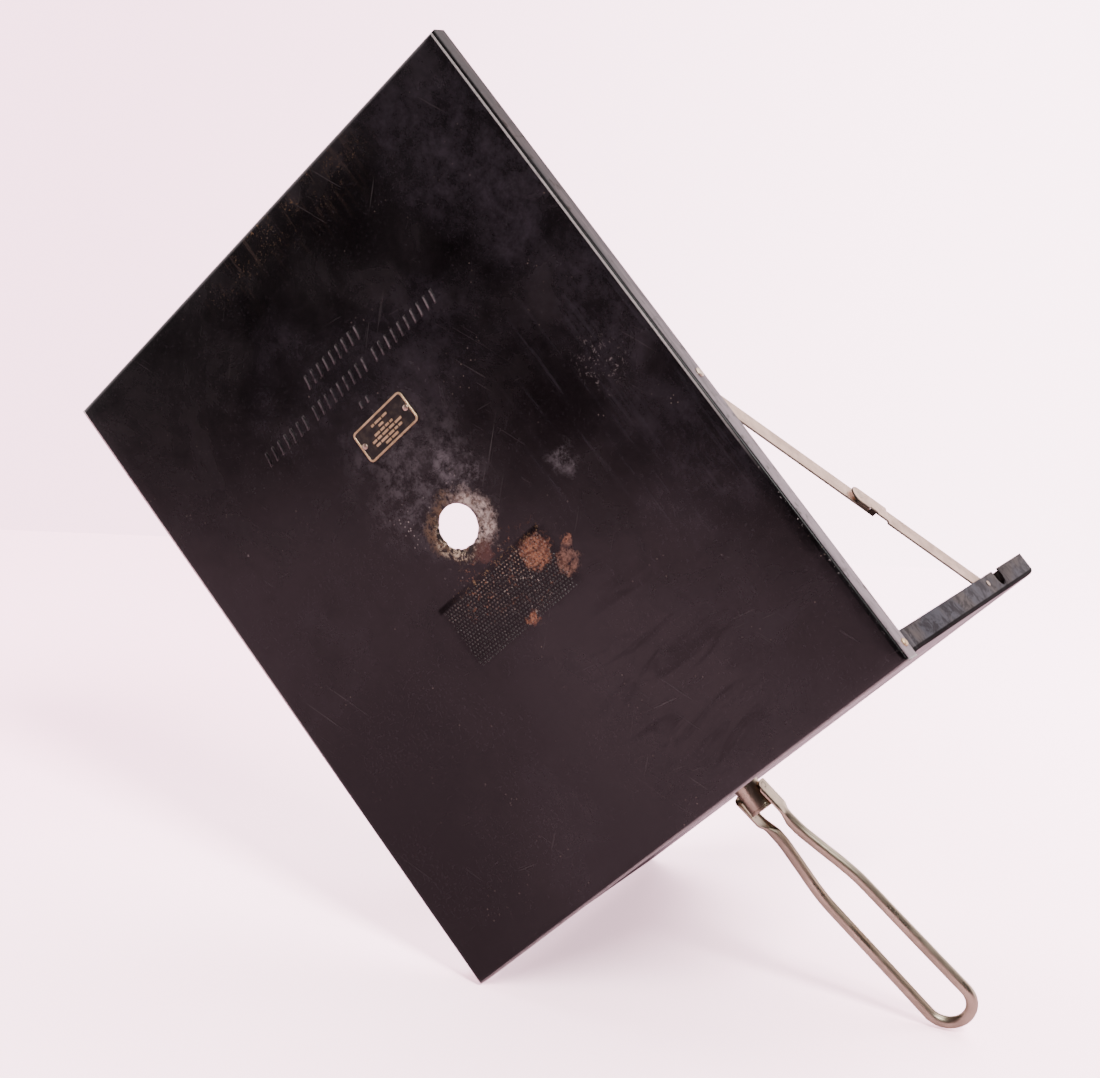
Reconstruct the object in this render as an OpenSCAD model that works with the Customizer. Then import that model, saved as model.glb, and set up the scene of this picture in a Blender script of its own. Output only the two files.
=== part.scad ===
// Folding flash-sheet holder: an upright sheet-metal pan with a round match hole,
// a smaller shield pan hinged along its bottom edge, two rule-jointed stays, and
// a rolled strip handle that swings on a threaded tripod bush.
// Units are mm. +X is to the right, +Y away from the operator, +Z up.
// The origin is the centre of the tripod bush's mouth.

/* [Node] */
// Which piece to show

/* [Main pan] */
// Width of the upright pan
pan_w = 203.2; // [150:0.1:260]
// Height of the upright pan
pan_h = 254; // [200:0.1:320]
// Depth of its turned rim, outside
rim_d = 7.8; // [5:0.1:14]
// Sheet thickness
sheet_t = 0.6; // [0.4:0.05:1.2]
// Outside radius of the rim's bend
bend_r = 2; // [1:0.1:4]
// Diameter of the match hole
hole_d = 15.8; // [8:0.1:30]
// Height of the match hole above the bottom edge
hole_up = 126; // [80:0.5:180]
// Height of the raised ornament above the face
bead_h = 0.35; // [0.1:0.05:0.8]

/* [Nameplate] */
// Width of the blank nameplate
plate_w = 25.4; // [15:0.1:40]
// Height of the blank nameplate
plate_h = 12.3; // [8:0.1:20]
// Height of its centre above the pan's bottom edge
plate_up = 168.5; // [140:0.5:220]
// Distance of each rivet from its centre
plate_rivet = 10.9; // [6:0.1:16]

/* [Shield pan] */
// Length of the shield from the hinge pivot to its far wall
shield_l = 137.5; // [100:0.5:180]
// Height of the shield's walls, outside
shield_h = 8.3; // [5:0.05:12]
// Distance of the shield's underside below the hinge pivot
shield_drop = 4.2; // [2:0.05:6]
// Distance of its side walls in from the pan's sides
shield_in = 1.3; // [1.2:0.1:4]
// Angle of the open shield above level
rise = 0.75; // [0:0.05:5]

/* [Stays] */
// Width of the stay strip
strip_w = 6; // [4:0.1:8]
// Thickness of the stay strip
strip_t = 0.7; // [0.4:0.05:1]
// Height of the stay's pan rivet above the pan's bottom edge
stay_up = 111.35; // [90:0.05:130]
// Distance of the stay's shield rivet from the hinge pivot
stay_out = 92.85; // [70:0.05:110]
// Length of the lap at the rule joint
lap_l = 13.5; // [8:0.5:20]

/* [Tripod bush and handle] */
// Diameter of the bush
bush_d = 9.5; // [8:0.1:14]
// Diameter of its threaded hole
bush_bore = 6.35; // [5:0.05:8]
// Diameter of the rolled handle
tube_d = 4.3; // [3:0.1:6]
// Length of the handle from its pivot to the end of the loop
handle_l = 111.8; // [80:0.1:140]
// Lean of the handle from straight down
handle_lean = 14; // [0:1:60]

/* [Hidden] */
$fn = 64;
bush_y = 56.2;
bush_z = 9;
hinge_y = 5.26 - bush_y;
hinge_z = 5.5 + bush_z;
pan_y = -bush_y;
half_w = pan_w / 2;
stay_y = 5.2 - bush_y;
stay_z = stay_up + bush_z;
rivet_z = 1.2;
bush_in = cos(rise) * -hinge_y + sin(rise) * -hinge_z;
bush_low = -sin(rise) * -hinge_y + cos(rise) * -hinge_z;
low_y = hinge_y + stay_out * cos(rise) - rivet_z * sin(rise);
low_z = hinge_z + stay_out * sin(rise) + rivet_z * cos(rise);
stay_len = sqrt(pow(low_y - stay_y, 2) + pow(stay_z - low_z, 2));
stay_dif = stay_up - 5.5 - stay_out;
upper_l = (stay_len + stay_dif) / 2;
lower_l = (stay_len - stay_dif) / 2;
stay_a = atan2(low_y - stay_y, stay_z - low_z);
hw = strip_w / 2;
pip_z = -8.2;
lap_x = shield_in + sheet_t + 0.3;
low_x = lap_x + strip_t;
up_x = low_x + strip_t + 0.15;
black = [0.10, 0.09, 0.09];
nickel = [0.78, 0.74, 0.69];
brass = [0.78, 0.62, 0.36];

// Pan frame: x across, y up the pan, z away from the operator, from the bottom edge's middle
module in_pan() {
    translate([0, pan_y, bush_z])
        rotate([90, 0, 180])
            children();
}

// Shield frame: y along the shield from the hinge pivot, z up
module in_shield() {
    translate([0, hinge_y, hinge_z])
        rotate([rise, 0, 0])
            children();
}

// Stay frames: the link runs along -Z from its rivet, +Y on the side away from the hinge
module in_upper() {
    translate([0, stay_y, stay_z])
        rotate([stay_a, 0, 0])
            children();
}

// Handle frame: the handle runs along -Z from the pips
module in_handle() {
    in_shield()
        translate([0, bush_in, pip_z])
            rotate([handle_lean, 0, 0])
                children();
}

// Slab across X between two depths in from the pan's side s, from a profile in y, z
module side_slab(s, x0, x1) {
    a = s * (half_w - x0);
    b = s * (half_w - x1);
    translate([min(a, b), 0, 0])
        rotate([90, 0, 90])
            linear_extrude(height = abs(a - b))
                children();
}

// Round bar along X between two depths in from the pan's side s
module side_bar(s, x0, x1, r) {
    a = s * (half_w - x0);
    b = s * (half_w - x1);
    translate([min(a, b), 0, 0])
        rotate([0, 90, 0])
            cylinder(h = abs(a - b), r = r);
}

// Rectangle with its two lower corners rounded
module tray_profile(w, h, r) {
    translate([-w / 2 + r, 0])
        square([w - 2 * r, h]);
    translate([-w / 2, r])
        square([w, h - r]);
    translate([-w / 2 + r, r])
        circle(r = r);
    translate([w / 2 - r, r])
        circle(r = r);
}

// Solid block with rounded lower edges on all four sides
module tray_block(w, l, h, r) {
    intersection() {
        translate([0, l, 0])
            rotate([90, 0, 0])
                linear_extrude(height = l)
                    tray_profile(w, h, r);
        translate([-w / 2, l / 2, 0])
            rotate([90, 0, 90])
                linear_extrude(height = w)
                    tray_profile(l, h, r);
    }
}

module bead(w, h, up) {
    translate([-w / 2 + h / 2, up, -bead_h])
        cylinder(h = bead_h + 0.1, r = h / 2);
    translate([w / 2 - h / 2, up, -bead_h])
        cylinder(h = bead_h + 0.1, r = h / 2);
    translate([-w / 2 + h / 2, up - h / 2, -bead_h])
        cube([w - h, h, bead_h + 0.1]);
}

module main_pan() {
    color(black)
    in_pan()
    difference() {
        union() {
            tray_block(pan_w, pan_h, rim_d, bend_r);
            bead(34, 4, 199.5);
            bead(96, 4, 189.5);
        }
        translate([0, sheet_t, sheet_t])
            tray_block(pan_w - 2 * sheet_t, pan_h - 2 * sheet_t, rim_d + 4, bend_r - sheet_t);
        translate([0, hole_up, -1])
            cylinder(h = 3, r = hole_d / 2);
        for (s = [-1, 1]) {
            translate([s * plate_rivet, plate_up, -1])
                cylinder(h = 3, r = 0.75);
            translate([0, 5.5, 5.26])
                side_bar(s, -1, 1, 1.05);
            translate([0, stay_up, 5.2])
                side_bar(s, -1, 1, 1.05);
        }
    }
}

module nameplate() {
    color(brass)
    in_pan()
    difference() {
        translate([0, plate_up - plate_h / 2, -0.5])
            union() {
                translate([-plate_w / 2 + 1.5, 0, 0])
                    cube([plate_w - 3, plate_h, 0.5]);
                translate([-plate_w / 2, 1.5, 0])
                    cube([plate_w, plate_h - 3, 0.5]);
                for (x = [-plate_w / 2 + 1.5, plate_w / 2 - 1.5], y = [1.5, plate_h - 1.5])
                    translate([x, y, 0])
                        cylinder(h = 0.5, r = 1.5);
            }
        translate([-plate_w / 2 + 0.6, plate_up - plate_h / 2 + 0.6, -0.7])
            cube([plate_w - 1.2, plate_h - 1.2, 0.35]);
        for (s = [-1, 1])
            translate([s * plate_rivet, plate_up, -1])
                cylinder(h = 2, r = 0.75);
    }
}

module nameplate_rivets() {
    color(brass)
    in_pan()
    for (s = [-1, 1])
        translate([s * plate_rivet, plate_up, 0])
            union() {
                translate([0, 0, -0.85])
                    cylinder(h = 0.5, r = 1.1);
                translate([0, 0, -0.5])
                    cylinder(h = 1.3, r = 0.7);
                translate([0, 0, 0.6])
                    cylinder(h = 0.4, r = 1.2);
            }
}

module hinge_rivet(s) {
    color(brass)
    translate([0, hinge_y, hinge_z])
        union() {
            side_bar(s, -0.8, 0, 1.35);
            side_bar(s, -0.2, 2, 1);
            side_bar(s, 1.65, 2.3, 1.6);
        }
}

module hinge_rivet_left() {
    hinge_rivet(-1);
}

module hinge_rivet_right() {
    hinge_rivet(1);
}

module stay_spacer(s) {
    color(nickel)
    translate([0, stay_y, stay_z])
        difference() {
            side_bar(s, sheet_t, up_x - 0.05, 2);
            side_bar(s, 0, up_x + 1, 1.05);
        }
}

module stay_spacer_left() {
    stay_spacer(-1);
}

module stay_spacer_right() {
    stay_spacer(1);
}

module pan_stay_rivet(s) {
    color(nickel)
    translate([0, stay_y, stay_z])
        union() {
            side_bar(s, -0.7, 0, 1.7);
            side_bar(s, -0.3, up_x + 1.2, 1);
            side_bar(s, up_x + strip_t + 0.05, up_x + strip_t + 0.65, 1.9);
        }
}

module pan_stay_rivet_left() {
    pan_stay_rivet(-1);
}

module pan_stay_rivet_right() {
    pan_stay_rivet(1);
}

// Plan of one shield wall near the hinge: the ear set out, the joggle, then the wall
module ear_plan(s) {
    a = half_w - 1;
    b = half_w - shield_in;
    polygon([[s * a, -4], [s * a, 7], [s * b, 9.5], [s * b, 11],
        [s * (b - sheet_t), 11], [s * (b - sheet_t), 9.3], [s * (a - sheet_t), 6.8],
        [s * (a - sheet_t), -4]]);
}

module shield_pan() {
    b = half_w - shield_in;
    color(black)
    in_shield()
    difference() {
        union() {
            difference() {
                translate([0, -20, -shield_drop])
                    difference() {
                        tray_block(2 * b, shield_l + 20, shield_h, 1.6);
                        translate([0, -20, sheet_t])
                            tray_block(2 * (b - sheet_t), shield_l + 40 - sheet_t, shield_h + 4, 1);
                    }
                translate([-b - 1, -30, -shield_drop - 1])
                    cube([2 * b + 2, 29, shield_h + 2]);
                for (s = [-1, 1])
                    translate([s > 0 ? b - 1.6 : -b - 1, -2, -shield_drop - 1])
                        cube([2.6, 11.6, shield_h + 2]);
            }
            for (s = [-1, 1])
                intersection() {
                    translate([0, 0, -shield_drop])
                        linear_extrude(height = shield_h)
                            ear_plan(s);
                    union() {
                        side_slab(s, 0, 4)
                            translate([0, -shield_drop])
                                square([12, shield_h]);
                        side_bar(s, 0, 4, 3.9);
                    }
                }
        }
        for (s = [-1, 1]) {
            side_bar(s, 0, 4, 1.05);
            translate([0, stay_out, rivet_z])
                side_bar(s, 1, 4, 1.05);
            translate([0, stay_up - 5.5, 1.05])
                side_bar(s, 1, 4, 3.3);
            side_slab(s, 1, 4)
                translate([stay_up - 5.5 - 3.3, 1.05])
                    square([6.6, 6]);
        }
        translate([0, bush_in, -shield_drop - 1])
            cylinder(h = 3, r = 3.95);
    }
}

module shield_stay_rivet(s) {
    color(nickel)
    in_shield()
    translate([0, stay_out, rivet_z])
        union() {
            side_bar(s, shield_in - 0.35, shield_in, 1.5);
            side_bar(s, shield_in - 0.2, low_x + strip_t, 1);
            side_bar(s, shield_in + sheet_t, low_x - 0.05, 1.9);
        }
}

module shield_stay_rivet_left() {
    shield_stay_rivet(-1);
}

module shield_stay_rivet_right() {
    shield_stay_rivet(1);
}

module tripod_bush() {
    color(nickel)
    in_shield()
    translate([0, bush_in, 0])
    difference() {
        union() {
            translate([0, 0, bush_low])
                cylinder(h = -shield_drop - bush_low, r = bush_d / 2);
            translate([0, 0, -shield_drop - 1])
                cylinder(h = 2.2, r = 3.9);
            translate([0, 0, -shield_drop + sheet_t])
                cylinder(h = 0.8, r = 6.3);
        }
        translate([0, 0, bush_low - 1])
            cylinder(h = 20, r = bush_bore / 2);
        translate([3.95, 0, pip_z])
            rotate([0, 90, 0])
                cylinder(h = 3, r = 0.95);
        translate([-6.95, 0, pip_z])
            rotate([0, 90, 0])
                cylinder(h = 3, r = 0.95);
    }
}

// The upper link, with the narrow tongue and stop lug beyond the rule joint
module upper_link(s) {
    color(nickel)
    in_upper()
    difference() {
        union() {
            side_slab(s, up_x, up_x + strip_t) {
                translate([-hw, -upper_l])
                    square([strip_w, upper_l]);
                circle(r = hw);
                translate([0, -upper_l])
                    circle(r = hw);
                polygon([[-hw, -upper_l + 2], [-hw, -upper_l - 7.5], [-1.5, -upper_l - 7.2],
                    [-0.6, -upper_l - 6], [0.5, -upper_l - 4], [2.3, -upper_l - 1.8]]);
            }
            side_slab(s, lap_x + 0.1, up_x + strip_t)
                translate([-hw - 0.6, -upper_l - 7.5])
                    square([0.6, 2.3]);
        }
        side_bar(s, 1, 9, 1.05);
        translate([0, 0, -upper_l])
            side_bar(s, 1, 9, 1.05);
    }
}

module upper_link_left() {
    upper_link(-1);
}

module upper_link_right() {
    upper_link(1);
}

module rule_rivet_inner(s) {
    color(nickel)
    in_upper()
    translate([0, 0, -upper_l])
        union() {
            side_bar(s, up_x, up_x + strip_t + 0.3, 1);
            side_bar(s, up_x + strip_t, up_x + strip_t + 0.6, 2);
        }
}

module rule_rivet_inner_left() {
    rule_rivet_inner(-1);
}

module rule_rivet_inner_right() {
    rule_rivet_inner(1);
}

// The lower link, from the shield rivet up to the lapped rule joint
module lower_link(s) {
    color(nickel)
    in_upper()
    difference() {
        union() {
            side_slab(s, low_x, low_x + strip_t) {
                translate([-hw, -stay_len])
                    square([strip_w, lower_l - lap_l]);
                translate([0, -stay_len])
                    circle(r = hw);
            }
            side_slab(s, lap_x, lap_x + strip_t) {
                translate([-hw, -upper_l - lap_l])
                    square([strip_w, lap_l]);
                translate([0, -upper_l])
                    circle(r = hw);
            }
            side_slab(s, lap_x, low_x + strip_t)
                translate([-hw, -upper_l - lap_l - 0.6])
                    square([strip_w, 1.2]);
        }
        translate([0, 0, -stay_len])
            side_bar(s, 1, 9, 1.05);
        translate([0, 0, -upper_l])
            side_bar(s, 1, 9, 1.05);
    }
}

module lower_link_left() {
    lower_link(-1);
}

module lower_link_right() {
    lower_link(1);
}

module rule_rivet_outer(s) {
    color(nickel)
    in_upper()
    translate([0, 0, -upper_l])
        union() {
            side_bar(s, lap_x - 0.15, lap_x, 1.6);
            side_bar(s, lap_x - 0.1, up_x - 0.1, 1);
        }
}

module rule_rivet_outer_left() {
    rule_rivet_outer(-1);
}

module rule_rivet_outer_right() {
    rule_rivet_outer(1);
}

// One straight run of the rolled handle, from (x0, z0) to (x1, z1)
module run(x0, z0, x1, z1) {
    translate([x0, 0, z0])
        rotate([0, atan2(x1 - x0, z1 - z0), 0])
            cylinder(h = sqrt(pow(x1 - x0, 2) + pow(z1 - z0, 2)), r = tube_d / 2);
    translate([x1, 0, z1])
        sphere(r = tube_d / 2 + 0.03);
}

module handle_leg(s) {
    r_end = 8.65;
    z_end = -(handle_l - r_end - tube_d / 2);
    translate([s * r_end, 0, z_end])
        sphere(r = tube_d / 2 + 0.03);
    run(s * r_end, z_end, s * 8.2, -60);
    run(s * 8.2, -60, s * 8, -46);
    run(s * 8, -46, s * 6.1, -33);
    run(s * 6.1, -33, s * 4.2, -21);
    run(s * 4.2, -21, s * 3.95, -16);
    // Web of the jaw, rounded at its top
    translate([s > 0 ? 5.25 : -5.95, 0, 0])
        rotate([90, 0, 90])
            linear_extrude(height = 0.7) {
                translate([-3.5, -10])
                    square([7, 9.5]);
                translate([-1.1, -0.5])
                    circle(r = 2.4);
                translate([1.1, -0.5])
                    circle(r = 2.4);
                translate([-1.1, -2])
                    square([2.2, 3.9]);
            }
    // Lips of the jaw
    for (y = [-3.5, 2.8])
        translate([s > 0 ? 4.8 : -5.95, y, -10])
            cube([1.15, 0.7, 9]);
    // Gathered neck between the jaw and the rolled part
    hull() {
        translate([s > 0 ? 4.85 : -5.9, -3.45, -10])
            cube([1.05, 6.9, 0.6]);
        translate([s * 3.95, 0, -16.5])
            cylinder(h = 0.6, r = tube_d / 2 - 0.1, $fn = 24);
    }
    // Pivot pip
    translate([s > 0 ? 4.1 : -5.4, 0, 0])
        rotate([0, 90, 0])
            cylinder(h = 1.3, r = 0.9);
}

module handle() {
    color(nickel)
    in_handle()
    union() {
        handle_leg(-1);
        handle_leg(1);
        translate([0, 0, -(handle_l - 8.65 - tube_d / 2)])
            rotate([90, 0, 0])
                rotate([0, 0, 180])
                    rotate_extrude(angle = 180)
                        translate([8.65, 0])
                            circle(r = tube_d / 2);
    }
}

main_pan();
nameplate();
nameplate_rivets();
hinge_rivet_left();
hinge_rivet_right();
stay_spacer_left();
stay_spacer_right();
pan_stay_rivet_left();
pan_stay_rivet_right();
shield_pan();
shield_stay_rivet_left();
shield_stay_rivet_right();
tripod_bush();
upper_link_left();
upper_link_right();
rule_rivet_inner_left();
rule_rivet_inner_right();
lower_link_left();
lower_link_right();
rule_rivet_outer_left();
rule_rivet_outer_right();
handle();
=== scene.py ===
import math
import random

import bmesh
import bpy
from mathutils import Matrix, Vector, noise


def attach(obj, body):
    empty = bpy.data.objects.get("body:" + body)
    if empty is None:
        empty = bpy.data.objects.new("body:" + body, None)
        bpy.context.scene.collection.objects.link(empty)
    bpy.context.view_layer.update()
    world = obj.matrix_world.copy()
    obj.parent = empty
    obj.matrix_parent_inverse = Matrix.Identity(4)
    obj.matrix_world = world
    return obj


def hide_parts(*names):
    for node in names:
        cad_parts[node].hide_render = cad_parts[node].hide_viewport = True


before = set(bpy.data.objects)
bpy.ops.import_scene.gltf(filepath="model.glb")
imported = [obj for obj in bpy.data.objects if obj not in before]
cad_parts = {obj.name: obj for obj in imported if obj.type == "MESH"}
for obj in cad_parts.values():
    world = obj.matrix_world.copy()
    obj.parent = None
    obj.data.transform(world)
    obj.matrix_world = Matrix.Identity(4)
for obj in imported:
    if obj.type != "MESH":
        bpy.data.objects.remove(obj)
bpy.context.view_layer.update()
rng = random.Random(7)
MM = 0.001

# ---- sizes, mm
PAN_W, PAN_H, RIM, SHEET, BEND = 203.2, 254.0, 7.8, 0.6, 2.0
PAN_Y, PAN_Z = -56.2, 9.0
HOLE_R, HOLE_UP = 7.9, 126.0
PLATE_UP = 168.5
RISE = math.radians(0.75)
HINGE = Vector((0, -50.94, 14.5))
STAY = Vector((0, -51.0, 120.35))
STAY_A = math.radians(41.9244)
UPPER_L, LOWER_L, LAP = 76.01, 63.01, 13.5
STAY_L = UPPER_L + LOWER_L
STRIP, STRIP_HW, STRIP_TOP = 0.7, 3.55, 3.35
UPPER_IN, LAP_IN, LOWER_IN, LUG_IN = 3.75, 2.2, 2.9, 2.05
STAY_END = (92.85, 1.2)
BUSH_IN, BUSH_LOW, PIP = 50.746, -15.166, -8.2
LEAN = math.radians(14)
SHIELD_L, SHIELD_HW, DROP, WALL_TOP, SHIELD_BEND = 137.5, 100.3, 4.2, 4.1, 1.6
NOTCH_Y, NOTCH_R, NOTCH_FOOT = 105.85, 3.3, -2.25
TUBE_R, LOOP_R, HANDLE_L = 2.15, 8.65, 111.8

M_ROW = Matrix.Identity(4)
M_SHIELD = Matrix.Translation(HINGE) @ Matrix.Rotation(RISE, 4, "X")
M_STAY = Matrix.Translation(STAY) @ Matrix.Rotation(STAY_A, 4, "X")
M_BUSH = M_SHIELD @ Matrix.Translation((0, BUSH_IN, 0))
M_HANDLE = M_BUSH @ Matrix.Translation((0, 0, PIP)) @ Matrix.Rotation(LEAN, 4, "X")
SIDES = ((-1, "left"), (1, "right"))


# ---- node helpers
class Tree:
    """Short helpers for building a node tree, with a running colour, roughness, specular level and metal."""

    def __init__(self, owner, coords="Object"):
        owner.use_nodes = True
        self.t = owner.node_tree
        self.t.nodes.clear()
        self.co = self.add("TexCoord").outputs[coords]
        self.color, self.rough, self.spec, self.metal = None, None, 0.5, 0.0

    def add(self, kind, **props):
        n = self.t.nodes.new("ShaderNode" + kind)
        for k, v in props.items():
            setattr(n, k, v)
        return n

    def link(self, a, b):
        self.t.links.new(a, b)

    def put(self, socket, v):
        if isinstance(v, bpy.types.NodeSocket):
            self.link(v, socket)
        else:
            socket.default_value = v

    def math(self, op, a, b=0.0, clamp=False):
        n = self.add("Math", operation=op, use_clamp=clamp)
        self.put(n.inputs[0], a)
        self.put(n.inputs[1], b)
        return n.outputs[0]

    def mul(self, a, *others):
        for b in others:
            a = self.math("MULTIPLY", a, b)
        return a

    def most(self, a, *others):
        for b in others:
            a = self.math("MAXIMUM", a, b)
        return a

    def plus(self, a, b, clamp=False):
        return self.math("ADD", a, b, clamp)

    def minus(self, a, b, clamp=False):
        return self.math("SUBTRACT", a, b, clamp)

    def without_sign(self, v):
        return self.math("ABSOLUTE", v)

    def noise(self, scale, detail=3.0, rough=0.55, co=None, distort=0.0):
        n = self.add("TexNoise")
        self.link(co or self.co, n.inputs["Vector"])
        for key, v in (("Scale", scale), ("Detail", detail), ("Roughness", rough), ("Distortion", distort)):
            n.inputs[key].default_value = v
        return n.outputs["Fac"]

    def voronoi(self, scale):
        n = self.add("TexVoronoi", feature="F1")
        self.link(self.co, n.inputs["Vector"])
        n.inputs["Scale"].default_value = scale
        return n.outputs["Distance"]

    def span(self, v, lo, hi, to_lo=0.0, to_hi=1.0):
        """A smooth step from to_lo to to_hi as the value goes from lo to hi."""
        n = self.add("MapRange", interpolation_type="SMOOTHSTEP")
        self.link(v, n.inputs["Value"])
        for key, x in (("From Min", lo), ("From Max", hi), ("To Min", to_lo), ("To Max", to_hi)):
            n.inputs[key].default_value = x
        return n.outputs["Result"]

    def fleck(self, scale, detail, rough, lo, hi, to_lo=0.0, to_hi=1.0):
        """Flecks: the part of a noise that is above a threshold."""
        return self.span(self.noise(scale, detail, rough), lo, hi, to_lo, to_hi)

    def mix(self, f, a, b):
        n = self.add("Mix", data_type="RGBA")
        self.put(n.inputs["Factor"], f)
        for name, v in (("A", a), ("B", b)):
            s = [i for i in n.inputs if i.name == name and i.type == "RGBA"][0]
            self.put(s, v if isinstance(v, bpy.types.NodeSocket) else (*v, 1.0))
        return [o for o in n.outputs if o.type == "RGBA"][0]

    def paint(self, mask, tint, amount=None):
        """Lay a tint over the running colour."""
        if amount is not None:
            mask = self.mul(mask, amount)
        self.color = self.mix(mask, self.color, tint)

    def map(self, scale=(1, 1, 1), rot=(0, 0, 0), loc=(0, 0, 0), co=None):
        n = self.add("Mapping")
        self.link(co or self.co, n.inputs["Vector"])
        for key, v in (("Scale", scale), ("Rotation", rot), ("Location", loc)):
            n.inputs[key].default_value = v
        return n.outputs["Vector"]

    def xyz(self, co=None):
        n = self.add("SeparateXYZ")
        self.link(co or self.co, n.inputs[0])
        return n.outputs

    def dot(self, v, axis):
        n = self.add("VectorMath", operation="DOT_PRODUCT")
        self.link(v, n.inputs[0])
        n.inputs[1].default_value = axis
        return n.outputs["Value"]

    def bump(self, height, strength, dist, normal=None):
        n = self.add("Bump")
        n.inputs["Strength"].default_value = strength
        n.inputs["Distance"].default_value = dist
        self.link(height, n.inputs["Height"])
        if normal is not None:
            self.link(normal, n.inputs["Normal"])
        return n.outputs["Normal"]

    def shader(self, kind, *inputs, **values):
        """A shader node: inputs are linked in order, values by their sockets' names."""
        n = self.add(kind)
        for i, v in enumerate(inputs):
            self.link(v, n.inputs[i])
        for k, v in values.items():
            self.put(n.inputs[k.replace("_", " ")], v)
        return n.outputs[0]

    def output(self, kind, surface):
        self.link(surface, self.add("Output" + kind).inputs["Surface"])

    def finish(self, normal):
        p = self.shader("BsdfPrincipled", Base_Color=self.color, Roughness=self.rough, Metallic=self.metal,
                        Specular_IOR_Level=self.spec, Normal=normal)
        self.output("Material", p)


class Face(Tree):
    """The pan's material. Spots are placed in mm, across from the face's middle and up from its foot."""

    def __init__(self, owner):
        super().__init__(owner)
        self.o = self.xyz()
        self.front = self.span(self.o[1], -0.0557, -0.0559)
        self.tiny = self.jitter(420, 0.7, 9.0)
        self.ragged = self.jitter(200, 0.7, 14.0)
        self.wide = self.jitter(60, 0.62, 46.0)
        self.broad = self.jitter(30, 0.62, 90.0)

    def jitter(self, scale, rough, size):
        return self.mul(self.minus(self.noise(scale, 5, rough), 0.5), size)

    def spot(self, x, z, r0, r1, jitter, strength=None):
        """A round mark on the face that fades out from radius r1 to r0, its edge moved by the jitter."""
        dx = self.minus(self.mul(self.o[0], 1000.0), x)
        dz = self.minus(self.mul(self.o[2], 1000.0), PAN_Z + z)
        d = self.math("SQRT", self.plus(self.mul(dx, dx), self.mul(dz, dz)))
        mark = self.mul(self.span(self.plus(d, jitter), r0, r1), self.front)
        return mark if strength is None else self.mul(mark, strength)

    def spots(self, *places):
        return self.most(*(self.spot(*p) for p in places))

    def height(self, lo, hi, to_lo=0.0, to_hi=1.0):
        return self.span(self.o[2], (PAN_Z + lo) * MM, (PAN_Z + hi) * MM, to_lo, to_hi)

    def across(self, lo, hi, to_lo=0.0, to_hi=1.0):
        return self.span(self.o[0], lo, hi, to_lo, to_hi)

    def window(self, heights, widths):
        """A soft-edged rectangle on the face, from the starts and ends of its four fades."""
        h = self.mul(self.height(*heights[:2]), self.height(*heights[2:]))
        w = self.mul(self.across(*widths[:2]), self.across(*widths[2:]))
        return self.mul(h, w, self.front)


# ---- enamel
def scratches(t, scale, angle, keep):
    """Thin straight marks running at one angle on the pan's face."""
    v = t.map(scale=(scale, scale, scale * 0.035), co=t.map(rot=(0, angle, 0)))
    n = t.noise(1.0, 2.0, 0.5, co=v, distort=0.25)
    return t.span(n, keep, keep + 0.035)


def cloud_face(f):
    """Deep clean black, then dull clouds and lanes, all soft edged."""
    black = f.spots((24, 229, 34, 8, f.broad), (54, 192, 34, 8, f.broad), (-20, 232, 22, 6, f.wide),
                    (-62, 222, 66, 22, f.broad, 0.8), (50, 150, 38, 10, f.broad, 0.9))
    f.paint(black, (0.0016, 0.0007, 0.0012), 0.92)
    dust = f.spots((94, 214, 46, 14, f.broad), (96, 150, 38, 8, f.broad), (28, 180, 44, 12, f.broad, 0.7),
                   (-10, 192, 38, 12, f.broad, 0.6), (88, 244, 30, 8, f.broad, 0.8),
                   (92, 96, 40, 8, f.broad, 0.7))
    veil = f.plus(f.mul(f.noise(24, 7, 0.7), 0.5), f.mul(f.noise(150, 7, 0.78), 0.5))
    f.paint(f.mul(dust, f.span(veil, 0.36, 0.66)), (0.047, 0.040, 0.050), 0.95)
    streak = f.noise(1.0, 6, 0.62, co=f.map(scale=(300, 300, 17), rot=(0, 0.05, 0)), distort=0.3)
    streak = f.mul(f.span(streak, 0.50, 0.74), f.spot(82, 122, 66, 26, f.wide))
    f.paint(streak, (0.050, 0.046, 0.056), 0.5)
    lanes = f.noise(1.0, 5, 0.6, co=f.map(scale=(32, 32, 120), rot=(0, 0.75, 0)), distort=0.8)
    lanes = f.mul(f.span(lanes, 0.50, 0.66), f.spot(38, 42, 44, 18, f.wide))
    f.spec = f.minus(0.5, f.mul(lanes, 0.16))
    f.spec = f.minus(f.spec, f.spot(-84, 66, 92, 26, f.broad, 0.12))
    f.spec = f.minus(f.spec, f.mul(black, 0.14))
    f.spec = f.plus(f.spec, f.spot(34, 58, 62, 18, f.broad, 0.09))


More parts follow.
